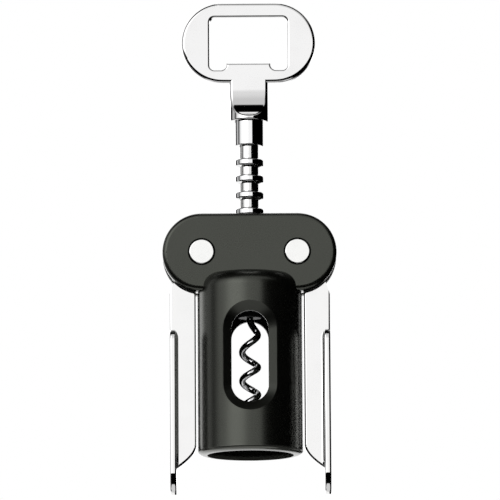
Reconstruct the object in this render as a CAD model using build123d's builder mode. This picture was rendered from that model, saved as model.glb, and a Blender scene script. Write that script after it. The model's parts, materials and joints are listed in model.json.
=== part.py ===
"""Lever corkscrew with a bottle opener in its handle.

Millimetres, +Z up.  The origin is on the worm's axis, in the plane of the bell's mouth.
The front faces -Y.  The part stands at rest with its levers down and its handle drawn up.

Two toothed levers swing on pins between the cheeks of the head.  Their teeth mesh with the
rings of a sleeve, the rack.  The handle, a steel rod and the worm turn as one inside that sleeve
and slide with it, so that pressing both levers down pulls the worm, and the cork, up.
"""

from build123d import *
import os
from math import acos, cos, hypot, radians, sin, tan

# ---- fits and clearances -------------------------------------------------------------------
RUNNING_CLEARANCE = 0.05       # radial, between a turning or sliding piece and its guide
END_PLAY = 0.05                # axial, of a turning piece between its shoulders
BACKLASH = 0.35                # between a lever's tooth and the rings, along the pitch line
LEVER_GAP = 0.6                # between a lever's arm and the barrel
HUB_GAP = 0.55                 # between a lever's hub and the bottom of its slot

# ---- rack and gearing ----------------------------------------------------------------------
RACK_PITCH = 6.0
RACK_RING_COUNT = 8
RACK_PITCH_RADIUS = 4.2        # where a ring and a tooth roll on each other
RING_RADIUS = RACK_PITCH_RADIUS + 0.95
RACK_ROOT_RADIUS = RACK_PITCH_RADIUS - 0.85
RING_THICKNESS = 2.7           # at the pitch radius
RING_TIP_FILLET = 0.55
RING_ROOT_FILLET = 0.35
RACK_MESH_OFFSET = 0.5         # at rest, from the pin's level up to the nearest gap's middle
RACK_TOP_RUN = 6.2             # plain shaft above the highest ring's middle, up to the stem
RACK_FOOT_RUN = 3.7            # plain shaft below the lowest ring's middle
PRESSURE_ANGLE = radians(20)
LEVER_PITCH_RADIUS = 13.0
TOOTH_ADDENDUM = 0.75
TOOTH_DEDENDUM = 1.1
TOOTH_SUNK = 0.5               # how far a tooth's foot runs into the hub
TOOTH_COUNT = 8
PLAIN_RIM_START = 190            # degrees from the rack's side, round the left pin
PLAIN_RIM_SIZE = 130

# ---- barrel and bell -----------------------------------------------------------------------
BARREL_RADIUS = 18.8
CHAMBER_RADIUS = 13.8
CHAMBER_TOP = 53.0
CEILING = 5.4                  # thinnest wall between the chamber and the levers' slots
SHOULDER_DROP = 7.2            # from the pins' level down to the top of the barrel's shoulder
SHOULDER_FILLET = 5.6
LIP_HEIGHT = 1.5               # rise of the rounded lip from the mouth to the barrel's wall
MOUTH_RADIUS = 15.5            # takes the rim of a wine bottle
MOUTH_DEPTH = 12.0
NECK_RING_RADIUS = 15.0
NECK_RING_BORE = 11.0
NECK_RING_THICKNESS = 3.0
WINDOW_WIDTH = 13.4
WINDOW_BOTTOM = 17.4
WINDOW_TOP = 50.4
WINDOW_FLARE = 3.2             # width of the sloping rim round each window
GUIDE_CLEARANCE = 0.15         # between the rings and the head's own bore

# ---- head ----------------------------------------------------------------------------------
LOBE_RADIUS = 14.1
HEAD_THICKNESS = 17.6
HEAD_FILLET = 1.7
CHEEK_EDGE = 0.5
BRIDGE_HALF_WIDTH = 9.5        # solid middle of the head, between the two slots
GUIDE_BUSH_WALL = 1.15
GUIDE_BUSH_LENGTH = 3.4
GUIDE_BUSH_INSET = 0.2

# ---- pivot pins ----------------------------------------------------------------------------
PIN_RADIUS = 3.0
PIN_HEAD_RADIUS = 4.43
PIN_HEAD_THICKNESS = 1.9
PIN_HEAD_RIM = 0.47            # dark gap between a pin's head and its recess
PIN_HEAD_DEPTH = 1.6
PIN_TAIL_RADIUS = 1.6
PIN_TAIL_LENGTH = 1.2
PIN_EDGE = 0.3

# ---- levers --------------------------------------------------------------------------------
LEVER_THICKNESS = 6.0
LEVER_EDGE = 0.7
ARM_WIDTH = 9.4                # from the arm's inner edge to the paddle's outer face
ARM_SHOULDER_DROP = 14.7       # from the pin's level down to where the arm is full width
ARM_SHOULDER_RISE = 5.0
ARM_SHOULDER_INSET = 1.75
ARM_FOOT = 3.4                 # where the arm's inner edge starts to curve towards the paddle
ARM_FOOT_DROP = 8.3
ARM_FOOT_SLOPE = 33.0          # degrees, of the curve's end against the paddle
ARM_FOOT_PULL = 3.2            # how far the curve keeps its direction at each end
PADDLE_WIDTH = 15.0
PADDLE_THICKNESS = 2.3
PADDLE_TOP = 45.0
PADDLE_TIP = -14.3
PADDLE_TOP_CORNER = 3.5
PADDLE_TIP_CORNER = 7.2
PADDLE_EDGE = 0.75
BUSH_WALL = 1.0
BUSH_FLANGE_RADIUS = 5.5
BUSH_FLANGE_THICKNESS = 0.5
BUSH_PROUD = 0.2
BUSH_MIDDLE_GAP = 0.2

# ---- spindle -------------------------------------------------------------------------------
ROD_RADIUS = 2.0
THRUST_WASHER = 0.6
STEM_LENGTH = 9.0
STEM_POCKET = 2.0
STEM_EDGE = 0.4
HOLDER_RADIUS = 4.6
HOLDER_ROD_DEPTH = 4.8
HOLDER_SHANK_DEPTH = 5.4
HOLDER_EDGE = 0.8
LOCK_PIN_RADIUS = 0.5
HANDLE_PIN_RADIUS = 0.75
HANDLE_PIN_RISE = 3.6
HANDLE_PIN_REACH = 3.2
HANDLE_PIN_END = 4.0

# ---- worm ----------------------------------------------------------------------------------
WORM_RADIUS = 4.0              # outside
WIRE_RADIUS = 1.2
WORM_PITCH = 10.0
WORM_TURNS = 2.75
WORM_NECK = 7.6                # height over which the wire runs from the coil to the axis
WORM_NECK_PULL = 2.6           # how far the wire keeps its direction at each end of the neck
SHANK_BARE = 0.2               # straight shank in sight below its holder
WORM_POINT_LENGTH = 3.4
WORM_POINT_RADIUS = 0.15

# ---- opener handle -------------------------------------------------------------------------
LOOP_WIDTH = 48.3
LOOP_HEIGHT = 29.4
LOOP_THICKNESS = 4.8
LOOP_EDGE = 1.1
NECK_RADIUS = 6.95
NECK_LENGTH = 14.1             # from the stem to the loop
NECK_SWEEP_RADIUS = 14.0       # concave run from the round neck to the flat plate
NECK_SWEEP_TOP = 11.5
NECK_FOOT_EDGE = 0.5
NECK_HOLLOW_EDGE = 1.0         # rounding of the hollows' rims
HANDLE_BORE_DEPTH = 6.6
OPENING_WIDTH = 28.3
OPENING_HEIGHT = 19.4
OPENING_RISE = 4.7             # from the loop's lowest edge to the opening
OPENING_CORNER = 1.8
OPENING_EDGE = 0.65
TONGUE_WIDTH = 15.8
TONGUE_HEIGHT = 2.4
TONGUE_ROOT_FILLET = 2.0
TONGUE_TIP_FILLET = 0.7

# ---- places worked out from the sizes --------------------------------------------------------
PIN_X = RACK_PITCH_RADIUS + LEVER_PITCH_RADIUS
HUB_RADIUS = LEVER_PITCH_RADIUS + TOOTH_ADDENDUM
HUB_ROOT_RADIUS = LEVER_PITCH_RADIUS - TOOTH_DEDENDUM
SLOT_RADIUS = HUB_RADIUS + HUB_GAP
SLOT_HALF = LEVER_THICKNESS / 2 + BUSH_PROUD + RUNNING_CLEARANCE
PIN_Z = CHAMBER_TOP + CEILING + SLOT_RADIUS
SHOULDER_TOP = PIN_Z - SHOULDER_DROP
HEAD_TOP = PIN_Z + LOBE_RADIUS
HEAD_HALF = HEAD_THICKNESS / 2
GUIDE_BORE = RING_RADIUS + GUIDE_CLEARANCE
GUIDE_BUSH_RADIUS = RING_RADIUS + RUNNING_CLEARANCE + GUIDE_BUSH_WALL
RECESS_RADIUS = PIN_HEAD_RADIUS + PIN_HEAD_RIM
BUSH_BORE = PIN_RADIUS + RUNNING_CLEARANCE
BUSH_RADIUS = BUSH_BORE + BUSH_WALL

FIRST_GAP_Z = PIN_Z + RACK_MESH_OFFSET
LOWEST_RING_Z = FIRST_GAP_Z - 1.5 * RACK_PITCH
HIGHEST_RING_Z = LOWEST_RING_Z + (RACK_RING_COUNT - 1) * RACK_PITCH
STEM_Z = HIGHEST_RING_Z + RACK_TOP_RUN
RACK_TOP = STEM_Z + STEM_POCKET - THRUST_WASHER - END_PLAY
RACK_FOOT = LOWEST_RING_Z - RACK_FOOT_RUN
RACK_BORE = ROD_RADIUS + RUNNING_CLEARANCE
POCKET_RADIUS = RACK_ROOT_RADIUS + RUNNING_CLEARANCE
STEM_TOP = STEM_Z + STEM_LENGTH
HOLDER_TOP = RACK_FOOT - END_PLAY - THRUST_WASHER
SHANK_TOP = HOLDER_TOP - HOLDER_ROD_DEPTH
HOLDER_FOOT = SHANK_TOP - HOLDER_SHANK_DEPTH
ROD_TOP = STEM_TOP + HANDLE_BORE_DEPTH
SHANK_FOOT = HOLDER_FOOT - SHANK_BARE
COIL_RADIUS = WORM_RADIUS - WIRE_RADIUS
COIL_TOP = SHANK_FOOT - WORM_NECK
COIL_FOOT = COIL_TOP - WORM_TURNS * WORM_PITCH

ARM_INNER = BARREL_RADIUS + LEVER_GAP
PADDLE_OUTER = ARM_INNER + ARM_WIDTH
PADDLE_INNER = PADDLE_OUTER - PADDLE_THICKNESS

LOOP_FOOT = STEM_TOP + NECK_LENGTH
LOOP_Z = LOOP_FOOT + LOOP_HEIGHT / 2
OPENING_FOOT = LOOP_FOOT + OPENING_RISE
OPENING_TOP = OPENING_FOOT + OPENING_HEIGHT
TONGUE_TOP = OPENING_FOOT + TONGUE_HEIGHT
SWEEP_TOP = STEM_TOP + NECK_SWEEP_TOP
NECK_BAR_TOP = OPENING_FOOT - OPENING_RISE / 2       # inside the loop's lower bar
HANDLE_PIN_Z = STEM_TOP + HANDLE_PIN_RISE
LOCK_PIN_Z = (HOLDER_FOOT + SHANK_TOP) / 2

TOOTH_THICKNESS = RACK_PITCH - RING_THICKNESS - BACKLASH
BASE_RADIUS = LEVER_PITCH_RADIUS * cos(PRESSURE_ANGLE)
TOOTH_FOOT = HUB_ROOT_RADIUS - TOOTH_SUNK
FLANK_RADII = (BASE_RADIUS, (BASE_RADIUS + HUB_RADIUS) / 2, HUB_RADIUS)
RING_HALF = RING_THICKNESS / 2
RING_TIP_HALF = RING_HALF - (RING_RADIUS - RACK_PITCH_RADIUS) * tan(PRESSURE_ANGLE)
RING_ROOT_HALF = RING_HALF + (RACK_PITCH_RADIUS - RACK_ROOT_RADIUS) * tan(PRESSURE_ANGLE)
FLANGE_SEAT = LEVER_THICKNESS / 2 + BUSH_PROUD - BUSH_FLANGE_THICKNESS
PIN_FLOOR = HEAD_HALF - PIN_HEAD_DEPTH       # the recesses' floors, front and rear
BUSH_TOP_Z = HEAD_TOP - GUIDE_BUSH_INSET

os.makedirs("parts", exist_ok=True)


def save(piece, name):
    """Label a finished piece and write it as one STEP file."""
    piece.label = name
    export_step(piece, f"parts/{name}.step")


# ==============================================================================================
# Housing: barrel, bell and two-cheeked head in one moulding
# ==============================================================================================
with BuildPart() as housing:
    # the head, a long rounded plate with softened edges
    with BuildSketch(Plane.XZ) as head_outline:
        with Locations((0, PIN_Z)):
            SlotCenterToCenter(2 * PIN_X, 2 * LOBE_RADIUS)
    extrude(amount=HEAD_HALF, both=True)
    fillet(housing.faces().filter_by(Axis.Y).edges(), HEAD_FILLET)

    # the barrel, with a rounded shoulder above and a rounded lip at the mouth
    with BuildSketch(Plane.XZ) as barrel_section:
        with BuildLine():
            Polyline(
                (MOUTH_RADIUS, 0),
                (0, 0),
                (0, SHOULDER_TOP),
                (BARREL_RADIUS - SHOULDER_FILLET, SHOULDER_TOP),
            )
            CenterArc(
                (BARREL_RADIUS - SHOULDER_FILLET, SHOULDER_TOP - SHOULDER_FILLET),
                SHOULDER_FILLET,
                0,
                90,
            )
            Line((BARREL_RADIUS, SHOULDER_TOP - SHOULDER_FILLET), (BARREL_RADIUS, LIP_HEIGHT))
            EllipticalCenterArc(
                (MOUTH_RADIUS, LIP_HEIGHT), BARREL_RADIUS - MOUTH_RADIUS, LIP_HEIGHT, 270, arc_size=90
            )
        make_face()
    revolve(axis=Axis.Z)

    # the bell's mouth, the seat of the neck ring and the chamber
    with BuildSketch(Plane.XZ) as bore_section:
        with BuildLine():
            Polyline(
                (0, -1),
                (MOUTH_RADIUS, -1),
                (MOUTH_RADIUS, MOUTH_DEPTH),
                (NECK_RING_RADIUS, MOUTH_DEPTH),
                (NECK_RING_RADIUS, MOUTH_DEPTH + NECK_RING_THICKNESS),
                (CHAMBER_RADIUS, MOUTH_DEPTH + NECK_RING_THICKNESS),
                (CHAMBER_RADIUS, CHAMBER_TOP),
                (GUIDE_BORE, CHAMBER_TOP),
                (GUIDE_BORE, HEAD_TOP - GUIDE_BUSH_LENGTH - GUIDE_BUSH_INSET),
                (GUIDE_BUSH_RADIUS, HEAD_TOP - GUIDE_BUSH_LENGTH - GUIDE_BUSH_INSET),
                (GUIDE_BUSH_RADIUS, HEAD_TOP + 1),
                (0, HEAD_TOP + 1),
                close=True,
            )
        make_face()
    revolve(axis=Axis.Z, mode=Mode.SUBTRACT)

    # a window through the front and the rear wall, each with a sloping rim
    with BuildSketch(Plane.XZ) as window_outline:
        with Locations((0, (WINDOW_BOTTOM + WINDOW_TOP) / 2)):
            SlotOverall(WINDOW_TOP - WINDOW_BOTTOM, WINDOW_WIDTH, rotation=90)
    extrude(amount=BARREL_RADIUS + 1, both=True, mode=Mode.SUBTRACT)
    rim_edges = housing.edges().filter_by(
        lambda edge: abs(edge.center().X) < WINDOW_WIDTH / 2 + 0.1
        and WINDOW_BOTTOM - 0.1 < edge.center().Z < WINDOW_TOP + 0.1
        and abs(hypot((edge @ 0).X, (edge @ 0).Y) - BARREL_RADIUS) < 0.01
    )
    chamfer(rim_edges, WINDOW_FLARE)

    # a slot for each lever's hub and arm, open at the top, the side and below
    for side in (-1, 1):
        with BuildSketch(Plane.XZ) as slot_outline:
            with Locations((side * PIN_X, PIN_Z)):
                Circle(SLOT_RADIUS)
            with Locations((side * BRIDGE_HALF_WIDTH, PIN_Z)):
                Rectangle(
                    PIN_X + LOBE_RADIUS,
                    LOBE_RADIUS + 1,
                    align=(Align.MIN if side > 0 else Align.MAX, Align.MIN),
                )
        extrude(amount=SLOT_HALF, both=True, mode=Mode.SUBTRACT)

    # holes for the pins, with a recess for the head or the cap at each end
    with BuildSketch(Plane.XZ) as pin_holes:
        with Locations((-PIN_X, PIN_Z), (PIN_X, PIN_Z)):
            Circle(PIN_RADIUS)
    extrude(amount=HEAD_THICKNESS, both=True, mode=Mode.SUBTRACT)
    for facing in (-1, 1):
        with BuildSketch(Plane.XZ.offset(facing * (HEAD_HALF - PIN_HEAD_DEPTH))) as recesses:
            with Locations((-PIN_X, PIN_Z), (PIN_X, PIN_Z)):
                Circle(RECESS_RADIUS)
        extrude(amount=facing * (PIN_HEAD_DEPTH + 1), mode=Mode.SUBTRACT)

    # the cheeks' inner edges, softened all round the lobes
    cheek_edges = housing.edges().filter_by(GeomType.CIRCLE).filter_by(
        lambda edge: abs(abs(edge.center().Y) - SLOT_HALF) < 0.01
        and abs(edge.radius - LOBE_RADIUS) < 0.01
    )
    fillet(cheek_edges, CHEEK_EDGE)

save(housing.part, "housing")

# ==============================================================================================
# Inside the housing: guide bush and neck ring
# ==============================================================================================
with BuildPart() as rack_guide_bush:
    with BuildSketch(Plane.XY.offset(BUSH_TOP_Z - GUIDE_BUSH_LENGTH)) as bush_ring:
        Circle(GUIDE_BUSH_RADIUS)
        Circle(RING_RADIUS + RUNNING_CLEARANCE, mode=Mode.SUBTRACT)
    extrude(amount=GUIDE_BUSH_LENGTH)
save(rack_guide_bush.part, "rack_guide_bush")

with BuildPart() as neck_ring:
    with BuildSketch(Plane.XY.offset(MOUTH_DEPTH)) as seat_ring:
        Circle(NECK_RING_RADIUS)
        Circle(NECK_RING_BORE, mode=Mode.SUBTRACT)
    extrude(amount=NECK_RING_THICKNESS)
    chamfer(neck_ring.edges().filter_by(GeomType.CIRCLE).group_by(Axis.Z)[0].sort_by(
        SortBy.RADIUS)[0], NECK_RING_THICKNESS / 2)
save(neck_ring.part, "neck_ring")

# ==============================================================================================
# Pivot pins and their caps
# ==============================================================================================
for side, pin_name in ((-1, "left"), (1, "right")):
    pin_axis = Plane((side * PIN_X, 0, PIN_Z), x_dir=(1, 0, 0), z_dir=(0, -1, 0))
    with BuildPart() as pivot_pin:
        with BuildSketch(pin_axis.offset(-PIN_FLOOR)) as shank:
            Circle(PIN_RADIUS)
        extrude(amount=2 * PIN_FLOOR)
        with BuildSketch(pin_axis.offset(PIN_FLOOR)) as pin_head:
            Circle(PIN_HEAD_RADIUS)
        extrude(amount=PIN_HEAD_THICKNESS)
        fillet(pivot_pin.faces().sort_by(Axis.Y)[0].edges(), PIN_EDGE)
        with BuildSketch(pin_axis.offset(-PIN_FLOOR - PIN_TAIL_LENGTH)) as tail:
            Circle(PIN_TAIL_RADIUS)
        extrude(amount=PIN_TAIL_LENGTH)
    save(pivot_pin.part, f"{pin_name}_pivot_pin")

    with BuildPart() as pin_cap:
        with BuildSketch(pin_axis.offset(-PIN_FLOOR - PIN_HEAD_THICKNESS)) as cap_disc:
            Circle(PIN_HEAD_RADIUS)
        extrude(amount=PIN_HEAD_THICKNESS)
        fillet(pin_cap.faces().sort_by(Axis.Y)[-1].edges(), PIN_EDGE)
        with BuildSketch(pin_axis.offset(-PIN_FLOOR - PIN_TAIL_LENGTH)) as cap_socket:
            Circle(PIN_TAIL_RADIUS)
        extrude(amount=PIN_TAIL_LENGTH, mode=Mode.SUBTRACT)
    save(pin_cap.part, f"{pin_name}_pin_cap")

# ==============================================================================================
# Levers: toothed hub, arm and grip paddle in one casting
# ==============================================================================================


def involute(radius):
    """Involute angle, in radians, where the flank crosses this radius."""
    base = LEVER_PITCH_RADIUS * cos(PRESSURE_ANGLE)
    pressure = acos(base / max(radius, base))
    return tan(pressure) - pressure


def tooth_half_angle(radius):
    """Half the angle that a tooth spans at this radius; the flank is radial below the base circle."""
    at_pitch = TOOTH_THICKNESS / 2 / LEVER_PITCH_RADIUS
    return at_pitch + involute(LEVER_PITCH_RADIUS) - involute(radius)


def about_left_pin(radius, angle):
    """A point in the plane of the head, from the left pin's axis."""
    return (-PIN_X + radius * cos(angle), PIN_Z + radius * sin(angle))


with BuildPart() as left_lever:
    # the grip paddle, a rounded strip that faces sideways
    with BuildSketch(Plane.YZ.offset(-PADDLE_OUTER)) as paddle_outline:
        with Locations((0, (PADDLE_TOP + PADDLE_TIP) / 2)):
            Rectangle(PADDLE_WIDTH, PADDLE_TOP - PADDLE_TIP)
        fillet(paddle_outline.vertices().group_by(Axis.Y)[0], PADDLE_TIP_CORNER)
        fillet(paddle_outline.vertices().group_by(Axis.Y)[-1], PADDLE_TOP_CORNER)
    extrude(amount=PADDLE_THICKNESS)
    fillet(left_lever.faces().filter_by(Axis.X).edges(), PADDLE_EDGE)

    # the arm, which stands on the paddle's middle and is cut to a curve at its foot
    with BuildSketch(Plane.XZ) as arm_outline:
        with BuildLine():
            arm_edge = Polyline(
                (-PADDLE_INNER - PADDLE_THICKNESS / 2, ARM_FOOT - ARM_FOOT_DROP),
                (-PADDLE_INNER - PADDLE_THICKNESS / 2, PADDLE_TOP - PADDLE_TOP_CORNER),
                (-PADDLE_OUTER, PADDLE_TOP - PADDLE_TOP_CORNER),
                (-PADDLE_OUTER, PIN_Z - ARM_SHOULDER_DROP),
                (-PADDLE_OUTER + ARM_SHOULDER_INSET, PIN_Z - ARM_SHOULDER_DROP + ARM_SHOULDER_RISE),
                (-PADDLE_OUTER + ARM_SHOULDER_INSET, PIN_Z),
                (-ARM_INNER, PIN_Z),
                (-ARM_INNER, ARM_FOOT),
            )
            foot_way = Vector(1, 0).rotate(Axis.Z, ARM_FOOT_SLOPE)
            foot = Bezier(
                (-ARM_INNER, ARM_FOOT),
                (-ARM_INNER, ARM_FOOT - ARM_FOOT_PULL),
                Vector(-PADDLE_INNER, ARM_FOOT - ARM_FOOT_DROP) + foot_way * ARM_FOOT_PULL,
                (-PADDLE_INNER, ARM_FOOT - ARM_FOOT_DROP),
            )
            Line(foot @ 1, arm_edge @ 0)
        make_face()
    extrude(amount=LEVER_THICKNESS / 2, both=True)
    # the hub: a toothed sector that rolls on the rack, and a plain rim round the rest
    with BuildSketch(Plane.XZ) as hub_outline:
        with Locations((-PIN_X, PIN_Z)):
            Circle(HUB_ROOT_RADIUS)
        with BuildLine():
            rim = CenterArc(about_left_pin(0, 0), HUB_RADIUS, PLAIN_RIM_START, PLAIN_RIM_SIZE)
            Line(rim @ 1, about_left_pin(0, 0))
            Line(about_left_pin(0, 0), rim @ 0)
        make_face()
        for index in range(TOOTH_COUNT):
            middle = (RACK_MESH_OFFSET + (index - 1) * RACK_PITCH) / LEVER_PITCH_RADIUS
            low = [about_left_pin(r, middle - tooth_half_angle(r)) for r in FLANK_RADII]
            high = [about_left_pin(r, middle + tooth_half_angle(r)) for r in FLANK_RADII]
            low_foot = about_left_pin(TOOTH_FOOT, middle - tooth_half_angle(BASE_RADIUS))
            high_foot = about_left_pin(TOOTH_FOOT, middle + tooth_half_angle(BASE_RADIUS))
            with BuildLine():
                Line(low_foot, low[0])
                ThreePointArc(*low)
                ThreePointArc(low[-1], about_left_pin(HUB_RADIUS, middle), high[-1])
                ThreePointArc(*reversed(high))
                Polyline(high[0], high_foot, low_foot)
            make_face()
    extrude(amount=LEVER_THICKNESS / 2, both=True)

    # softened edges along the arm
    fillet(
        left_lever.edges().filter_by(
            lambda edge: abs(abs(edge.center().Y) - LEVER_THICKNESS / 2) < 0.01
            and edge.center().Z < PIN_Z - HUB_RADIUS
            and (edge.center().X > -PADDLE_INNER + 0.1 or edge.center().Z > PADDLE_TOP)
        ),
        LEVER_EDGE,
    )

    # the bore for the bushes, with a shallow recess for each flange
    with BuildSketch(Plane.XZ) as lever_bore:
        with Locations((-PIN_X, PIN_Z)):
            Circle(BUSH_RADIUS)
    extrude(amount=LEVER_THICKNESS, both=True, mode=Mode.SUBTRACT)
    for facing in (-1, 1):
        with BuildSketch(Plane.XZ.offset(facing * FLANGE_SEAT)) as flange_recess:
            with Locations((-PIN_X, PIN_Z)):
                Circle(BUSH_FLANGE_RADIUS)
        extrude(amount=facing * BUSH_FLANGE_THICKNESS, mode=Mode.SUBTRACT)
save(left_lever.part, "left_lever")

with BuildPart() as right_lever:
    mirror(left_lever.part, about=Plane.YZ)
save(right_lever.part, "right_lever")

for side, lever_name in ((-1, "left"), (1, "right")):
    for facing, end_name in ((1, "front"), (-1, "rear")):
        with BuildPart() as hub_bush:
            with BuildSketch(Plane.XZ.offset(facing * BUSH_MIDDLE_GAP)) as bush_tube:
                with Locations((side * PIN_X, PIN_Z)):
                    Circle(BUSH_RADIUS)
            extrude(amount=facing * (FLANGE_SEAT - BUSH_MIDDLE_GAP))
            with BuildSketch(Plane.XZ.offset(facing * FLANGE_SEAT)) as bush_flange:
                with Locations((side * PIN_X, PIN_Z)):
                    Circle(BUSH_FLANGE_RADIUS)
            extrude(amount=facing * BUSH_FLANGE_THICKNESS)
            with BuildSketch(Plane.XZ) as bush_bore:
                with Locations((side * PIN_X, PIN_Z)):
                    Circle(BUSH_BORE)
            extrude(amount=LEVER_THICKNESS, both=True, mode=Mode.SUBTRACT)
        save(hub_bush.part, f"{lever_name}_{end_name}_bush")

# ==============================================================================================
# Rack: a sleeve with rings, which slides in the head
# ==============================================================================================
with BuildPart() as ring_rack:
    with BuildSketch(Plane.XZ) as rack_section:
        outline = [(RACK_BORE, RACK_FOOT), (RACK_ROOT_RADIUS, RACK_FOOT)]
        for index in range(RACK_RING_COUNT):
            middle = LOWEST_RING_Z + index * RACK_PITCH
            outline += [
                (RACK_ROOT_RADIUS, middle - RING_ROOT_HALF),
                (RING_RADIUS, middle - RING_TIP_HALF),
                (RING_RADIUS, middle + RING_TIP_HALF),
                (RACK_ROOT_RADIUS, middle + RING_ROOT_HALF),
            ]
        outline += [(RACK_ROOT_RADIUS, RACK_TOP), (RACK_BORE, RACK_TOP)]
        with BuildLine():
            Polyline(*outline, close=True)
        make_face()
        fillet(
            rack_section.vertices().filter_by(lambda corner: abs(corner.X - RING_RADIUS) < 0.01),
            RING_TIP_FILLET,
        )
        fillet(
            rack_section.vertices().filter_by(
                lambda corner: abs(corner.X - RACK_ROOT_RADIUS) < 0.01
                and RACK_FOOT + 0.01 < corner.Z < RACK_TOP - 0.01
            ),
            RING_ROOT_FILLET,
        )
    revolve(axis=Axis.Z)
save(ring_rack.part, "ring_rack")

# ==============================================================================================
# Spindle: rod, stem collar, washers, worm holder and cross pins
# ==============================================================================================
with BuildPart() as spindle_rod:
    with BuildSketch(Plane.XY.offset(SHANK_TOP)) as rod_section:
        Circle(ROD_RADIUS)
    extrude(amount=ROD_TOP - SHANK_TOP)
    with BuildSketch(Plane.XZ) as rod_cross_hole:
        with Locations((0, HANDLE_PIN_Z)):
            Circle(HANDLE_PIN_RADIUS)
    extrude(amount=ROD_RADIUS, both=True, mode=Mode.SUBTRACT)
save(spindle_rod.part, "spindle_rod")

with BuildPart() as stem_collar:
    with BuildSketch(Plane.XY.offset(STEM_Z)) as collar_section:
        Circle(RING_RADIUS)
        Circle(ROD_RADIUS, mode=Mode.SUBTRACT)
    extrude(amount=STEM_LENGTH)
    with BuildSketch(Plane.XY.offset(STEM_Z)) as rack_pocket:
        Circle(POCKET_RADIUS)
    extrude(amount=STEM_POCKET, mode=Mode.SUBTRACT)
    fillet(stem_collar.faces().sort_by(Axis.Z)[0].outer_wire().edges(), STEM_EDGE)
save(stem_collar.part, "stem_collar")

for washer_name, washer_radius, washer_foot in (
    ("upper_thrust_washer", RACK_ROOT_RADIUS, STEM_Z + STEM_POCKET - THRUST_WASHER),
    ("lower_thrust_washer", HOLDER_RADIUS - HOLDER_EDGE, HOLDER_TOP),
):
    with BuildPart() as thrust_washer:
        with BuildSketch(Plane.XY.offset(washer_foot)) as washer_section:
            Circle(washer_radius)
            Circle(ROD_RADIUS, mode=Mode.SUBTRACT)
        extrude(amount=THRUST_WASHER)
    save(thrust_washer.part, washer_name)

with BuildPart() as worm_holder:
    with BuildSketch(Plane.XY.offset(HOLDER_FOOT)) as holder_section:
        Circle(HOLDER_RADIUS)
    extrude(amount=HOLDER_TOP - HOLDER_FOOT)
    fillet(worm_holder.edges().filter_by(GeomType.CIRCLE), HOLDER_EDGE)
    with BuildSketch(Plane.XY.offset(SHANK_TOP)) as rod_socket:
        Circle(ROD_RADIUS)
    extrude(amount=HOLDER_ROD_DEPTH, mode=Mode.SUBTRACT)
    with BuildSketch(Plane.XY.offset(HOLDER_FOOT)) as shank_socket:
        Circle(WIRE_RADIUS)
    extrude(amount=HOLDER_SHANK_DEPTH, mode=Mode.SUBTRACT)
    with BuildSketch(Plane.XZ) as holder_cross_hole:
        with Locations((0, LOCK_PIN_Z)):
            Circle(LOCK_PIN_RADIUS)
    extrude(amount=HOLDER_RADIUS + 1, both=True, mode=Mode.SUBTRACT)
save(worm_holder.part, "worm_holder")

with BuildPart() as worm_lock_pin:
    with BuildSketch(Plane.XZ) as lock_pin_section:
        with Locations((0, LOCK_PIN_Z)):
            Circle(LOCK_PIN_RADIUS)
    extrude(amount=HOLDER_RADIUS - HOLDER_EDGE / 4, both=True)
save(worm_lock_pin.part, "worm_lock_pin")

# ==============================================================================================
# Worm: a coiled wire with a ground point below and a straight shank above
# ==============================================================================================
coil = Helix(
    WORM_PITCH, WORM_TURNS * WORM_PITCH, COIL_RADIUS, center=(0, 0, COIL_FOOT), mode=Mode.PRIVATE
).rotate(Axis.Z, -360 * WORM_TURNS)
point_plane = Plane(coil @ 0, z_dir=coil % 0)
with BuildPart() as worm:
    with BuildLine() as coil_path:
        add(coil)
    with BuildSketch(point_plane) as coil_section:
        Circle(WIRE_RADIUS)
    sweep(path=coil_path.line, is_frenet=True)

    # the point, in line with the wire's end
    with BuildSketch(point_plane) as point_root:
        Circle(WIRE_RADIUS)
    with BuildSketch(point_plane.offset(-WORM_POINT_LENGTH)) as point_tip:
        Circle(WORM_POINT_RADIUS)
    loft()

    # the neck, where the wire leaves the coil for the axis, and the straight shank
    with BuildLine() as neck_path:
        Bezier(
            coil @ 1,
            coil @ 1 + (coil % 1) * WORM_NECK_PULL,
            (0, 0, SHANK_FOOT - WORM_NECK_PULL),
            (0, 0, SHANK_FOOT),
        )
    with BuildSketch(Plane(coil @ 1, z_dir=coil % 1)) as neck_section:
        Circle(WIRE_RADIUS)
    sweep(path=neck_path.line)
    with BuildSketch(Plane.XY.offset(SHANK_FOOT)) as shank_section:
        Circle(WIRE_RADIUS)
    extrude(amount=SHANK_TOP - SHANK_FOOT)
    with BuildSketch(Plane.XZ) as shank_cross_hole:
        with Locations((0, LOCK_PIN_Z)):
            Circle(LOCK_PIN_RADIUS)
    extrude(amount=WIRE_RADIUS + 1, both=True, mode=Mode.SUBTRACT)
save(worm.part, "worm")

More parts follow.
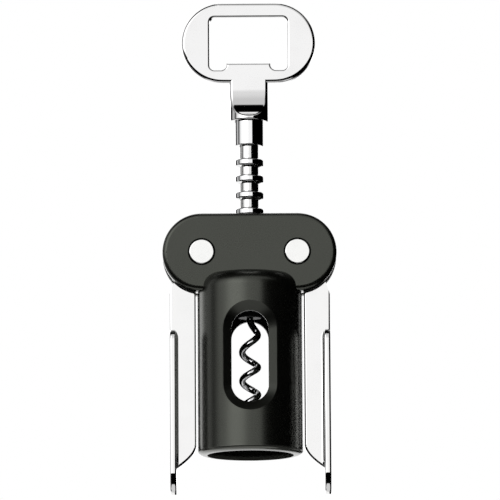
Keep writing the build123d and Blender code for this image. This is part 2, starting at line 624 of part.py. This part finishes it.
# ==============================================================================================
# Opener handle: a long loop with a bottle opener in it, on a neck swept down from a round bar
# ==============================================================================================
# the neck: a round bar, hollowed at the front and the back down to the plate's thickness
with BuildPart() as handle_neck:
    with BuildSketch(Plane.XY.offset(STEM_TOP)) as neck_bar:
        Circle(NECK_RADIUS)
    extrude(amount=NECK_BAR_TOP - STEM_TOP)
    fillet(handle_neck.faces().sort_by(Axis.Z)[0].edges(), NECK_FOOT_EDGE)
    with BuildSketch(Plane.YZ) as neck_hollows:
        for facing in (-1, 1):
            plate_y = facing * LOOP_THICKNESS / 2
            centre_y = plate_y + facing * NECK_SWEEP_RADIUS
            with BuildLine():
                hollow = CenterArc(
                    (centre_y, SWEEP_TOP), NECK_SWEEP_RADIUS, 90 + 90 * facing, 90 * facing
                )
                Polyline(hollow @ 1, (centre_y, OPENING_TOP), (plate_y, OPENING_TOP), hollow @ 0)
            make_face()
    extrude(amount=LOOP_WIDTH, both=True, mode=Mode.SUBTRACT)
    rims = handle_neck.edges().filter_by(Axis.X, reverse=True).filter_by(
        lambda edge: STEM_TOP + NECK_FOOT_EDGE + 0.01 < edge.center().Z < NECK_BAR_TOP - 0.01
    )
    fillet(rims, NECK_HOLLOW_EDGE)

# the loop, with its opening and the tongue that lifts a crown cap
with BuildPart() as opener_handle:
    with BuildSketch(Plane.XZ) as loop_outline:
        with Locations((0, LOOP_Z)):
            SlotOverall(LOOP_WIDTH, LOOP_HEIGHT)
    extrude(amount=LOOP_THICKNESS / 2, both=True)
    fillet(opener_handle.faces().filter_by(Axis.Y).edges(), LOOP_EDGE)
    with BuildSketch(Plane.XZ) as opening:
        with Locations((0, OPENING_FOOT)):
            Rectangle(OPENING_WIDTH, OPENING_HEIGHT, align=(Align.CENTER, Align.MIN))
            Rectangle(
                TONGUE_WIDTH, TONGUE_HEIGHT, align=(Align.CENTER, Align.MIN), mode=Mode.SUBTRACT
            )
        corners = opening.vertices()
        fillet(corners.group_by(Axis.Y)[0].sort_by(Axis.X)[1:3], TONGUE_ROOT_FILLET)
        fillet(opening.vertices().filter_by(
            lambda corner: abs(corner.Z - TONGUE_TOP) < 0.01), TONGUE_TIP_FILLET)
        fillet(opening.vertices().filter_by(
            lambda corner: abs(abs(corner.X) - OPENING_WIDTH / 2) < 0.01), OPENING_CORNER)
    extrude(amount=LOOP_THICKNESS, both=True, mode=Mode.SUBTRACT)
    fillet(
        opener_handle.faces().filter_by(Axis.Y).edges().filter_by(
            lambda edge: abs(edge.center().X) < OPENING_WIDTH / 2 + 0.1
            and OPENING_FOOT - 0.1 < edge.center().Z < OPENING_TOP + 0.1
        ),
        OPENING_EDGE,
    )

    add(handle_neck.part)

    # the blind bore for the rod and the cross hole for its pin, open only at the back
    with BuildSketch(Plane.XY.offset(STEM_TOP)) as rod_bore:
        Circle(ROD_RADIUS)
    extrude(amount=HANDLE_BORE_DEPTH, mode=Mode.SUBTRACT)
    with BuildSketch(Plane.XZ.offset(HANDLE_PIN_REACH)) as handle_cross_hole:
        with Locations((0, HANDLE_PIN_Z)):
            Circle(HANDLE_PIN_RADIUS)
    extrude(amount=-HANDLE_PIN_REACH - NECK_RADIUS, mode=Mode.SUBTRACT)
save(opener_handle.part, "opener_handle")

with BuildPart() as handle_lock_pin:
    with BuildSketch(Plane.XZ.offset(HANDLE_PIN_REACH)) as handle_pin_section:
        with Locations((0, HANDLE_PIN_Z)):
            Circle(HANDLE_PIN_RADIUS)
    extrude(amount=-HANDLE_PIN_REACH - HANDLE_PIN_END)
save(handle_lock_pin.part, "handle_lock_pin")
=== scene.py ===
"""Looks of the lever corkscrew: its finishes, its polished worm, the soft roots of its levers,
and the small studio that it stands in.  Metres, +Z up, front facing -Y, in the CAD's own frame.
"""

import json

import bpy
import numpy as np
from mathutils import Matrix, Vector


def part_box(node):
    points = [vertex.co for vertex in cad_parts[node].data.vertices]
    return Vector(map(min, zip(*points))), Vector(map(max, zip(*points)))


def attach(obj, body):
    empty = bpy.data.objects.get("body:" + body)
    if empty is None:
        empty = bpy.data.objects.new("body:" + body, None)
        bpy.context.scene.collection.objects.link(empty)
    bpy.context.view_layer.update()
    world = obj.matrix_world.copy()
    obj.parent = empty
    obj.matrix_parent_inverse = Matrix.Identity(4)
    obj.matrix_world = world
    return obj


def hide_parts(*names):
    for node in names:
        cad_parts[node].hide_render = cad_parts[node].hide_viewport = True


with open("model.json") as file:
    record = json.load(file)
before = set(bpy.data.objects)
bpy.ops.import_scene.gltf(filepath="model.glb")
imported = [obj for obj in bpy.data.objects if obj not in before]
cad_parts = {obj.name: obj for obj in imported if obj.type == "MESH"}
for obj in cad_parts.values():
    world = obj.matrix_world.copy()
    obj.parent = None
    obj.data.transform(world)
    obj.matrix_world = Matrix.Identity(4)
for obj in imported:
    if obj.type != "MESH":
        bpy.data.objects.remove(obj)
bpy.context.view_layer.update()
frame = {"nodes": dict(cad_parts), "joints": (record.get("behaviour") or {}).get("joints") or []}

scene = bpy.context.scene

MM = 0.001

# ---- sizes that the frame does not give --------------------------------------------------------
WIRE_RADIUS = 1.2 * MM
WORM_PITCH = 10.0 * MM
WORM_TURNS = 2.75
NECK_RISE = 7.6 * MM           # from the coil's end up to where the wire reaches the axis
NECK_PULL = 2.6 * MM
SHANK_RUN = 5.6 * MM           # straight shank, bare and in its holder
POINT_RUN = 3.4 * MM
POINT_RADIUS = 0.06 * MM
ROOT_FILLET = 1.0 * MM         # between a lever's web and its paddle
ROOT_TAPER = 2.5 * MM
PADDLE_FACE = 26.5 * MM        # from the axis to a paddle's inner face
WEB_HALF = 3.0 * MM
PADDLE_TOP = 45.0 * MM
WEB_FOOT = -4.9 * MM
WINDOW_Z = 33.9 * MM           # middle of the windows
WINDOW_STRAIGHT = 9.8 * MM     # half the straight part of a window's side
RIM_OUTSIDE = 10.2 * MM        # edges of a window's sloping rim, from its middle line
RIM_INSIDE = 9.7 * MM
LIP_HIGHLIGHT_TOP = 2.0 * MM         # the bell's lip has a painted highlight and is smoother up to here, and fully below the next
LIP_HIGHLIGHT_FULL = 0.8 * MM
TOOTH_FOOT = 11.6 * MM         # a lever's toothed band, from its pivot's axis
TOOTH_TIP = 14.2 * MM
RING_FOOT = 3.5 * MM           # the gaps between the rack's rings, from the axis
RING_SIDE = 4.4 * MM
PIN_HEAD_RADIUS = 4.43 * MM    # a pin's head, and the recess that it lies in
PIN_RECESS_RADIUS = 4.95 * MM
TOP_TURN_RISE = 1.7 * MM       # how much further apart the worm's last turn opens
BURIED = 0.02 * MM             # how far a joined piece runs into the metal that it stands on

COIL_STATIONS = 220
POINT_STATIONS = 25
NECK_STATIONS = 39
WIRE_STEPS = 28
ROOT_STATIONS = 90
ROOT_STEPS = 12

swing = next(joint for joint in frame["joints"] if joint["name"] == "right_lever_swing")
PIN_X, _, PIN_Z = (abs(place) for place in swing["pos_m"])


# ================================================================================================
# Shader graphs
# ================================================================================================
class Value:
    """A shader socket that takes part in arithmetic: each operation adds one Math node."""

    def __init__(self, graph, socket):
        self.graph = graph
        self.socket = socket

    def math(self, operation, *others, first=None):
        """Add a Math node on this value (or on first, this) and give its result."""
        terms = (self, *others) if first is None else (first, self)
        return self.graph.node("ShaderNodeMath", {"operation": operation}, dict(enumerate(terms)))

    def __add__(self, other):
        return self.math("ADD", other)

    def __radd__(self, other):
        return self.math("ADD", other)

    def __sub__(self, other):
        return self.math("SUBTRACT", other)

    def __rsub__(self, other):
        return self.math("SUBTRACT", first=other)

    def __mul__(self, other):
        return self.math("MULTIPLY", other)

    def __rmul__(self, other):
        return self.math("MULTIPLY", other)

    def __pow__(self, other):
        return self.math("POWER", other)

    def __neg__(self):
        return self.math("MULTIPLY", -1.0)

    def __abs__(self):
        return self.math("ABSOLUTE")


class Graph:
    """A node tree that is built by expressions."""

    def __init__(self, tree):
        self.tree = tree
        tree.nodes.clear()

    def node(self, kind, settings=None, sockets=None, out=0):
        """Add a node: its settings first, then the values or links of its sockets."""
        made = self.tree.nodes.new(kind)
        for name, setting in (settings or {}).items():
            setattr(made, name, setting)
        for key, given in (sockets or {}).items():
            if isinstance(given, Value):
                self.tree.links.new(given.socket, made.inputs[key])
            else:
                made.inputs[key].default_value = given
        return Value(self, made.outputs[out]) if made.outputs else made

    def step(self, value, low, high):
        """0 below low and 1 above high, with a smooth rise between; falling if low > high."""
        return self.node(
            "ShaderNodeMapRange",
            {"interpolation_type": "SMOOTHSTEP"},
            {"Value": value, "From Min": low, "From Max": high},
        )

    def band(self, value, low, high, soft):
        """1 between low and high, falling to 0 over soft on each side."""
        rise = self.step(value, low - soft, low + soft)
        return rise * self.step(value, high + soft, high - soft)

    def mix(self, factor, first, second):
        """Colour first where factor is 0 and second where it is 1."""
        return self.node(
            "ShaderNodeMix",
            {"data_type": "RGBA"},
            {"Factor": factor, 6: first, 7: second},
            out=2,
        )

    def parts(self, vector):
        """The three components of a vector."""
        split = self.node("ShaderNodeSeparateXYZ", None, {0: vector}).socket.node
        return [Value(self, socket) for socket in split.outputs]


class Finish(Graph):
    """A material of one finish, on Object coordinates."""

    def __init__(self, name):
        self.material = bpy.data.materials.new(name)
        self.material.use_nodes = True
        super().__init__(self.material.node_tree)
        self.place = self.node("ShaderNodeTexCoord", out="Object")
        self.x, self.y, self.z = self.parts(self.place)

    def noise(self, size, detail=2.0, stretch=(1, 1, 1)):
        """Smooth noise from 0 to 1 with lumps of that size, drawn out along stretched axes."""
        placed = self.node(
            "ShaderNodeMapping", None, {"Vector": self.place, "Scale": [1 / s for s in stretch]}
        )
        return self.node(
            "ShaderNodeTexNoise", None, {"Vector": placed, "Scale": 1 / size, "Detail": detail}
        )

    def from_axis(self):
        """Distance from the worm's axis."""
        return (self.x * self.x + self.y * self.y) ** 0.5

    def from_pin(self):
        """Distance from the nearer lever's pivot axis."""
        across = abs(self.x) - PIN_X
        up = self.z - PIN_Z
        return (across * across + up * up) ** 0.5

    def rings(self, value, spacing):
        """A wave from -1 to 1 that repeats at that spacing of value."""
        return (value * (2 * np.pi / spacing)).math("SINE")

    def from_window(self):
        """Distance from the middle line of the nearer window."""
        along = abs(self.z - WINDOW_Z) - WINDOW_STRAIGHT
        along = along.math("MAXIMUM", 0.0)
        return (self.x * self.x + along * along) ** 0.5

    def bump(self, height, distance, under=None):
        """Normal of a surface raised by height (0 to 1) times distance, over an earlier bump."""
        sockets = {"Height": height, "Distance": distance, "Strength": 1.0}
        if under is not None:
            sockets["Normal"] = under
        return self.node("ShaderNodeBump", None, sockets)

    def surface(self, **sockets):
        """Close the graph with a Principled BSDF and give the material."""
        named = {key.replace("_", " "): given for key, given in sockets.items()}
        shader = self.node("ShaderNodeBsdfPrincipled", None, named)
        self.node("ShaderNodeOutputMaterial", None, {"Surface": shader})
        return self.material


# ================================================================================================
# Finishes
# ================================================================================================
def satin_black_moulding():
    """Glass-filled black moulding with a fine sparked skin, a little shinier where it is held.

    The windows' sloping rims are duller, the bell's lip is smoother and painted paler as a painted
    highlight, and the gap round each pin's head holds dust.
    """
    finish = Finish("satin_black_moulding")
    held = finish.noise(16 * MM, detail=3.0)
    mottle = finish.noise(2.2 * MM, detail=4.0)
    skin = finish.noise(0.42 * MM, detail=2.0)
    flow = finish.noise(9 * MM, stretch=(1, 1, 3))
    colour = finish.mix(mottle, (0.0018, 0.0019, 0.0015, 1), (0.0034, 0.0035, 0.0027, 1))
    lip = finish.step(finish.z, LIP_HIGHLIGHT_TOP, LIP_HIGHLIGHT_FULL)
    # the lip's paler colour is a painted highlight
    colour = finish.mix(lip, colour, (0.045, 0.046, 0.041, 1))
    rim = finish.step(finish.from_window(), RIM_OUTSIDE, RIM_INSIDE)
    recess = finish.band(finish.from_pin(), PIN_HEAD_RADIUS, PIN_RECESS_RADIUS, 0.03 * MM)
    dulling = 0.06 * held + 0.05 * skin
    roughness = 0.21 + dulling + 0.6 * recess + 0.1 * rim - 0.08 * lip
    normal = finish.bump(skin, 0.006 * MM, finish.bump(flow, 0.03 * MM))
    return finish.surface(
        Base_Color=colour,
        Roughness=roughness,
        Normal=normal,
        Specular_IOR_Level=0.74,
        Specular_Tint=(0.96, 1.0, 0.88, 1),
    )


def chrome(name, tint, smear, gloss, dulling=None):
    """Bright chrome plate: fine polishing lines, faint finger smears and a slight orange peel.

    The last argument is the mask of places that are duller and darker: rubbing teeth, the rack's
    ring gaps.
    """
    finish = Finish(name)
    smears = finish.step(finish.noise(11 * MM, detail=4.0), 0.45, 0.72)
    peel = finish.noise(2.6 * MM)
    lines = finish.noise(0.12 * MM, detail=2.0, stretch=(1, 1, 18))
    pits = finish.step(finish.noise(0.5 * MM, detail=1.0), 0.70, 0.78)
    roughness = gloss + smear * smears + 0.02 * lines + 0.10 * pits
    colour = finish.mix(smears * 0.35, tint, tuple(0.94 * part for part in tint[:3]) + (1,))
    if dulling is not None:
        dulled = dulling(finish)
        roughness = roughness + 0.16 * dulled
        colour = finish.mix(dulled * 0.6, colour, (0.40, 0.39, 0.37, 1))
    normal = finish.bump(lines, 0.00012 * MM, finish.bump(peel, 0.0010 * MM))
    return finish.surface(Base_Color=colour, Roughness=roughness, Metallic=1.0, Normal=normal)


def tooth_rub(finish):
    """Mask of the toothed rim of a lever's hub, where it runs on the rack."""
    noise = finish.noise(1.5 * MM)
    return finish.band(finish.from_pin(), TOOTH_FOOT, TOOTH_TIP, 0.4 * MM) * (0.5 + 0.5 * noise)


def ring_roots(finish):
    """Mask of the gaps between the rack's rings, which are darker and duller."""
    noise = finish.noise(1.2 * MM)
    return finish.step(finish.from_axis(), RING_SIDE, RING_FOOT) * (0.25 + 0.4 * noise)


def pin_steel():
    """Nickel-bright pin heads with the faint rings of their turning."""
    finish = Finish("pin_steel_turned")
    rings = finish.rings(finish.from_pin(), 0.11 * MM)
    smears = finish.noise(3 * MM, detail=4.0)
    colour = finish.mix(smears, (0.70, 0.70, 0.69, 1), (0.65, 0.65, 0.64, 1))
    return finish.surface(
        Base_Color=colour,
        Roughness=0.08 + 0.07 * smears + 0.01 * rings,
        Metallic=1.0,
        Normal=finish.bump(rings, 0.0001 * MM),
    )


def inner_steel():
    """Plain turned steel of the spindle's hidden pieces, lightly oiled."""
    finish = Finish("inner_steel_oiled")
    rings = finish.rings(finish.z, 0.18 * MM)
    oil = finish.step(finish.noise(4 * MM, detail=4.0), 0.4, 0.65)
    colour = finish.mix(oil, (0.66, 0.65, 0.63, 1), (0.45, 0.43, 0.39, 1))
    return finish.surface(
        Base_Color=colour,
        Roughness=0.28 - 0.12 * oil + 0.03 * rings,
        Metallic=1.0,
        Normal=finish.bump(rings, 0.0004 * MM),
    )


def worm_steel():
    """Polished steel wire with drawing lines round it and small handling marks."""
    finish = Finish("worm_steel_polished")
    fine = finish.noise(0.3 * MM, detail=3.0)
    patch = finish.noise(1.6 * MM, detail=4.0)
    marks = finish.step(patch, 0.62, 0.72)
    colour = finish.mix(marks, (0.64, 0.64, 0.65, 1), (0.50, 0.49, 0.48, 1))
    return finish.surface(
        Base_Color=colour,
        Roughness=0.07 + 0.06 * patch + 0.08 * marks,
        Metallic=1.0,
        Normal=finish.bump(fine, 0.0012 * MM),
    )


def black_oxide():
    """Blackened steel of the worm's holder, a dry dark finish."""
    finish = Finish("holder_black_oxide")
    patch = finish.noise(1.4 * MM, detail=4.0)
    return finish.surface(
        Base_Color=finish.mix(patch, (0.006, 0.006, 0.007, 1), (0.014, 0.014, 0.015, 1)),
        Roughness=0.42 + 0.16 * patch,
        Normal=finish.bump(finish.noise(0.2 * MM), 0.002 * MM),
        Specular_IOR_Level=0.25,
    )


def nylon(name, pale, dark):
    """Moulded nylon with a waxy skin and faint flow marks."""
    finish = Finish(name)
    flow = finish.noise(3 * MM, detail=3.0, stretch=(1, 1, 4))
    skin = finish.noise(0.2 * MM)
    return finish.surface(
        Base_Color=finish.mix(flow, pale, dark),
        Roughness=0.38 + 0.12 * flow,
        Normal=finish.bump(skin, 0.002 * MM),
    )


finishes = {
    "housing_black": satin_black_moulding(),
    "lever_chrome": chrome("lever_chrome_plate", (0.662, 0.660, 0.657, 1), 0.05, 0.035, tooth_rub),
    "rack_chrome": chrome("rack_chrome_plate", (0.655, 0.657, 0.660, 1), 0.04, 0.04, ring_roots),
    "handle_chrome": chrome("handle_chrome_plate", (0.654, 0.652, 0.652, 1), 0.04, 0.03),
    "pin_steel": pin_steel(),
    "inner_steel": inner_steel(),
    "worm_steel": worm_steel(),
    "holder_black": black_oxide(),
    "bush_nylon": nylon("bush_nylon_grey", (0.105, 0.105, 0.10, 1), (0.075, 0.075, 0.072, 1)),
    "ring_nylon": nylon("ring_nylon_black", (0.020, 0.020, 0.019, 1), (0.030, 0.030, 0.028, 1)),
}


# ================================================================================================
# Surfaces
# ================================================================================================
def closed_surface(name, grid):
    """Mesh of a grid of points: its rows run round, and each end row is closed by a fan.

    The point (i, j) is station i along the shape and step j round it.
    """
    stations, steps, _ = grid.shape
    index = np.arange(stations * steps).reshape(stations, steps)
    onward = np.roll(index, -1, axis=1)
    quads = np.stack([index[:-1], onward[:-1], onward[1:], index[1:]], axis=-1).reshape(-1, 4)
    ends = grid[[0, -1]].mean(axis=1)
    first, last = stations * steps, stations * steps + 1
    first_fan = np.stack([onward[0], index[0], np.full(steps, first)], axis=-1)
    last_fan = np.stack([index[-1], onward[-1], np.full(steps, last)], axis=-1)
    mesh = bpy.data.meshes.new(name)
    mesh.from_pydata(
        np.concatenate([grid.reshape(-1, 3), ends]).tolist(),
        [],
        quads.tolist() + first_fan.tolist() + last_fan.tolist(),
    )
    mesh.update()
    piece = bpy.data.objects.new(name, mesh)
    scene.collection.objects.link(piece)
    return piece


def carried(name, path, across, along, profile):
    """A profile carried along a path.

    Point (i, j) = path[i] + profile[i, j, 0] * across[i] + profile[i, j, 1] * along[i], with
    across and along the two directions of the section's plane at station i.
    """
    grid = (
        path[:, None, :]
        + profile[:, :, :1] * across[:, None, :]
        + profile[:, :, 1:] * along[:, None, :]
    )
    return closed_surface(name, grid)


def unit(vectors):
    """The same directions with length one."""
    return vectors / np.linalg.norm(vectors, axis=-1, keepdims=True)


def shade(piece, finish, edge_angle):
    """Smooth shading, broken at edges sharper than edge_angle, and the finish."""
    piece.data.polygons.foreach_set("use_smooth", np.ones(len(piece.data.polygons), bool))
    piece.data.set_sharp_from_angle(angle=np.radians(edge_angle))
    piece.data.materials.append(finish)


# ================================================================================================
# Pieces
# ================================================================================================
def make_worm():
    """The coiled wire.

    Coil: (r cos t, r sin t, top + pitch t / 2 pi), t rising to 0, and over its last turn the
    height gains a rise times u^2, u going from 0 to 1.  Point: straight on below, along the coil's
    first tangent.  Neck: a cubic Bezier from the coil's last tangent to the axis.  Then a straight
    shank.  The wire's radius R falls over the point as R sqrt(1 - s^1.7), s being the share of
    the point's run that is behind it, from 0 at the coil to 1 at the tip.
    """
    low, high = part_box("worm")
    radius = (high.x - low.x) / 2 - WIRE_RADIUS
    shank_foot = high.z - SHANK_RUN
    coil_top = shank_foot - NECK_RISE
    turned = np.linspace(-WORM_TURNS, 0, COIL_STATIONS) * 2 * np.pi
    rise = WORM_PITCH / (2 * np.pi)
    opening = np.clip(turned / (2 * np.pi) + 1, 0, 1)
    height = coil_top + rise * turned + TOP_TURN_RISE * opening**2
    steep = rise + TOP_TURN_RISE * opening / np.pi
    coil = np.stack([radius * np.cos(turned), radius * np.sin(turned), height], axis=-1)
    coil_ways = unit(np.stack([-radius * np.sin(turned), radius * np.cos(turned), steep], axis=-1))
    share = np.linspace(1, 0, POINT_STATIONS + 1)[:-1] ** 1.5
    point = coil[0] - share[:, None] * POINT_RUN * coil_ways[0]
    step = np.linspace(0, 1, NECK_STATIONS + 1)[1:, None]
    ends = np.array([coil[-1], coil[-1] + coil_ways[-1] * NECK_PULL])
    ends = np.vstack([ends, [0, 0, shank_foot - NECK_PULL], [0, 0, shank_foot]])
    neck = (
        (1 - step) ** 3 * ends[0]
        + 3 * step * (1 - step) ** 2 * ends[1]
        + 3 * step**2 * (1 - step) * ends[2]
        + step**3 * ends[3]
    )
    neck_ways = unit(
        (1 - step) ** 2 * (ends[1] - ends[0])
        + 2 * step * (1 - step) * (ends[2] - ends[1])
        + step**2 * (ends[3] - ends[2])
    )
    shank = np.array([[0, 0, high.z]])
    path = np.concatenate([point, coil, neck, shank])
    point_ways = np.tile(coil_ways[0], (len(point), 1))
    ways = np.concatenate([point_ways, coil_ways, neck_ways, [[0, 0, 1]]])
    guide = np.tile([0.0, 0.0, 1.0], (len(path), 1))
    guide[len(point) + len(coil):] = (0, -1, 0)
    across = unit(guide - (guide * ways).sum(-1, keepdims=True) * ways)
    along = np.cross(ways, across)
    radii = np.full(len(path), WIRE_RADIUS)
    radii[: len(point)] = np.maximum(WIRE_RADIUS * np.sqrt(1 - share**1.7), POINT_RADIUS)
    angle = np.linspace(0, 2 * np.pi, WIRE_STEPS, endpoint=False)
    circle = np.stack([np.cos(angle), np.sin(angle)], axis=-1)
    piece = carried("polished_worm", path, across, along, radii[:, None, None] * circle)
    shade(piece, finishes["worm_steel"], edge_angle=50)
    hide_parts("worm")
    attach(piece, "spindle")


def make_lever_root(side, side_name):
    """The concave roots between a lever's web and its paddle, front and rear.

    Section at height z: a quarter circle of radius f(z), hollow side out, closed behind by two
    lines just inside the metal; f falls to nothing at both ends as a quarter sine.
    """
    heights = np.linspace(WEB_FOOT, PADDLE_TOP - ROOT_FILLET / 3, ROOT_STATIONS)
    from_end = np.minimum(heights - heights[0], heights[-1] - heights)
    sizes = ROOT_FILLET * np.sin(np.pi / 2 * np.clip(from_end / ROOT_TAPER, 0.01, 1))
    turn = np.linspace(0, np.pi / 2, ROOT_STEPS)
    hollow = np.stack([1 - np.cos(turn), 1 - np.sin(turn)], axis=-1)
    arc = sizes[:, None, None] * hollow
    behind = np.full(len(heights), -BURIED)
    corner = np.stack([behind, behind], axis=-1)
    first = np.stack([behind, arc[:, 0, 1]], axis=-1)
    last = np.stack([arc[:, -1, 0], behind], axis=-1)
    section = np.concatenate([corner[:, None], first[:, None], arc, last[:, None]], axis=1)
    inward = np.tile([-side, 0.0, 0.0], (len(heights), 1))
    for facing, end_name in ((-1, "front"), (1, "rear")):
        profile = section if side * facing > 0 else section[:, ::-1]
        edge = np.tile([side * PADDLE_FACE, facing * WEB_HALF, 0.0], (len(heights), 1))
        edge[:, 2] = heights
        outward = np.tile([0.0, facing, 0.0], (len(heights), 1))
        piece = carried(f"{side_name}_lever_{end_name}_root", edge, inward, outward, profile)
        shade(piece, finishes["lever_chrome"], edge_angle=40)
        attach(piece, f"{side_name}_lever_body")


def finish_frame():
    """Give every CAD node the finish of its own slot."""
    for node in frame["nodes"].values():
        slot = node.data.materials[0].name.split(".")[0]
        node.data.materials[0] = finishes[slot]


# ================================================================================================
# Studio
# ================================================================================================
FLOOR_DROP = 0.55              # floor below the bell's mouth, out of a camera that looks up
FLOOR_HALF = 8.0
VIEW_TURN = 0.0                # degrees round the object, from its front
VIEW_RISE = -9.0               # degrees above the horizon
VIEW_ROLL = 0.33               # degrees, the picture's top leaning left
VIEW_DISTANCE = 2.0
VIEW_WIDTH = 0.1802            # what the picture is wide at the object
AIM = Vector((0.0002, 0.0, 0.07455))
SENSOR = 36.0

# Cards and flags: where each edge starts and ends, or a span and how soft its edges are.
# Bearings and pitches are in degrees, and heights are the sine of the angle above the horizon.
CARD_LEFT = (-92, -66)
CARD_RIGHT = (28.5, 25.5)
CARD_FOOT = (0.01, 0.06)
CARD_LIGHT = 1.38              # 1 is plain white paper
CARD_DIMMING = ((0.22, 0.18, 0.32), (0.20, 0.32, 0.85))    # how much, and between which heights
LAMP_SPAN = (-51, -12, 11)
LAMP_FOOT = (0.01, 0.15)
LAMP_LIGHT = 1.75
SIDE_SPAN = (-116, -94, 2)
SIDE_LIGHT = 0.65
BEHIND_EDGE = (134, 142)
BEHIND_RISE = (0.02, 0.10)     # the paper behind gains a light of 1 over this
BEHIND_LIGHT = 1.3
FLAG_SPAN = (100, 171, 2)
CEILING_EDGE = (0.50, 0.75)
TOP_EDGE = (61, 57)
TOP_LIGHT = 0.85
STRIP_SPAN = (88, 118, 2)
STRIP_WIDTH = (-0.12, 0.12, 0.04)
STRIP_LIGHT = 1.35
REAR_TOP_EDGE = (106, 114)
REAR_TOP_LIGHT = 0.3
GROUND_EDGE = (-0.83, -0.87)
GROUND_LIGHT = 0.9


def make_camera():
    """A long lens in front of the object, a little below it."""
    data = bpy.data.cameras.new("camera")
    data.sensor_width = SENSOR
    data.lens = SENSOR * VIEW_DISTANCE / VIEW_WIDTH
    camera = bpy.data.objects.new("camera", data)
    scene.collection.objects.link(camera)
    scene.camera = camera
    turn, rise, roll = np.radians([VIEW_TURN, VIEW_RISE, VIEW_ROLL])
    back = Vector((np.sin(turn) * np.cos(rise), -np.cos(turn) * np.cos(rise), np.sin(rise)))
    level = Vector((np.cos(turn), np.sin(turn), 0.0))
    up = back.cross(level)
    right = level * np.cos(roll) - up * np.sin(roll)
    axes = Matrix((right, back.cross(right), back)).transposed()
    camera.matrix_world = Matrix.LocRotScale(AIM + back * VIEW_DISTANCE, axes.to_quaternion(), None)


def make_studio():
    """White cards and black flags as seen from the object, by bearing and height.

    Bearing is 0 towards the front and grows to the right, and pitch is 0 at the front's horizon,
    90 overhead and 180 behind.  A big card stands in front and to the left, with a lamp behind it,
    a grey one further left, a black flag on the right, and white paper behind and below.  Overhead
    are the big card's top, a dark gap, a narrow strip and grey beyond it.  Each card and flag is a
    mask of smooth steps times its light, and the light of the sky is their sum.
    """
    world = bpy.data.worlds.new("studio")
    scene.world = world
    world.use_nodes = True
    graph = Graph(world.node_tree)
    x, y, z = graph.parts(graph.node("ShaderNodeTexCoord", out="Generated"))
    bearing = x.math("ARCTAN2", -y) * (180 / np.pi)
    pitch = z.math("ARCTAN2", -y) * (180 / np.pi)
    fade = 1
    for amount, low, high in CARD_DIMMING:
        fade = fade - amount * graph.step(z, low, high)
    card = graph.step(bearing, *CARD_LEFT) * graph.step(bearing, *CARD_RIGHT) * fade
    card = card * graph.step(z, *CARD_FOOT)
    lamp = graph.band(bearing, *LAMP_SPAN) * graph.step(z, *LAMP_FOOT)
    side = graph.band(bearing, *SIDE_SPAN) * SIDE_LIGHT
    flag = graph.band(bearing, *FLAG_SPAN)
    behind = graph.step(abs(bearing), *BEHIND_EDGE) * (1 - flag)
    behind = behind * (BEHIND_LIGHT + graph.step(z, *BEHIND_RISE))
    walls = card * (CARD_LIGHT + LAMP_LIGHT * lamp) + side + behind
    top = graph.step(pitch, *TOP_EDGE) * TOP_LIGHT
    strip = graph.band(pitch, *STRIP_SPAN) * graph.band(x, *STRIP_WIDTH) * STRIP_LIGHT
    overhead = top + strip + graph.step(pitch, *REAR_TOP_EDGE) * REAR_TOP_LIGHT
    ceiling = graph.step(z, *CEILING_EDGE)
    ground = graph.step(z, *GROUND_EDGE)
    light = walls * (1 - ceiling) * (1 - ground) + overhead * ceiling + ground * GROUND_LIGHT
    studio = graph.node("ShaderNodeBackground", None, {"Color": (1, 1, 1, 1), "Strength": light})
    paper = graph.node("ShaderNodeBackground", None, {"Color": (1, 1, 1, 1), "Strength": 1.0})
    seen = graph.node("ShaderNodeLightPath", out="Is Camera Ray")
    shown = graph.node("ShaderNodeMixShader", None, {0: seen, 1: studio, 2: paper})
    graph.node("ShaderNodeOutputWorld", None, {"Surface": shown})
    scene.view_settings.view_transform = "Standard"


def make_floor():
    """A plain pale floor."""
    finish = Finish("pale_floor")
    cloud = finish.noise(0.5, detail=3.0)
    colour = finish.mix(cloud, (0.84, 0.84, 0.84, 1), (0.88, 0.88, 0.88, 1))
    material = finish.surface(Base_Color=colour, Roughness=0.7)
    mesh = bpy.data.meshes.new("floor")
    corners = [
        (x * FLOOR_HALF, y * FLOOR_HALF, -FLOOR_DROP)
        for x, y in ((-1, -1), (1, -1), (1, 1), (-1, 1))
    ]
    mesh.from_pydata(corners, [], [(0, 1, 2, 3)])
    mesh.materials.append(material)
    floor = bpy.data.objects.new("floor", mesh)
    scene.collection.objects.link(floor)
    floor.visible_glossy = False


make_camera()
make_studio()
make_floor()
finish_frame()
make_worm()
make_lever_root(-1, "left")
make_lever_root(1, "right")
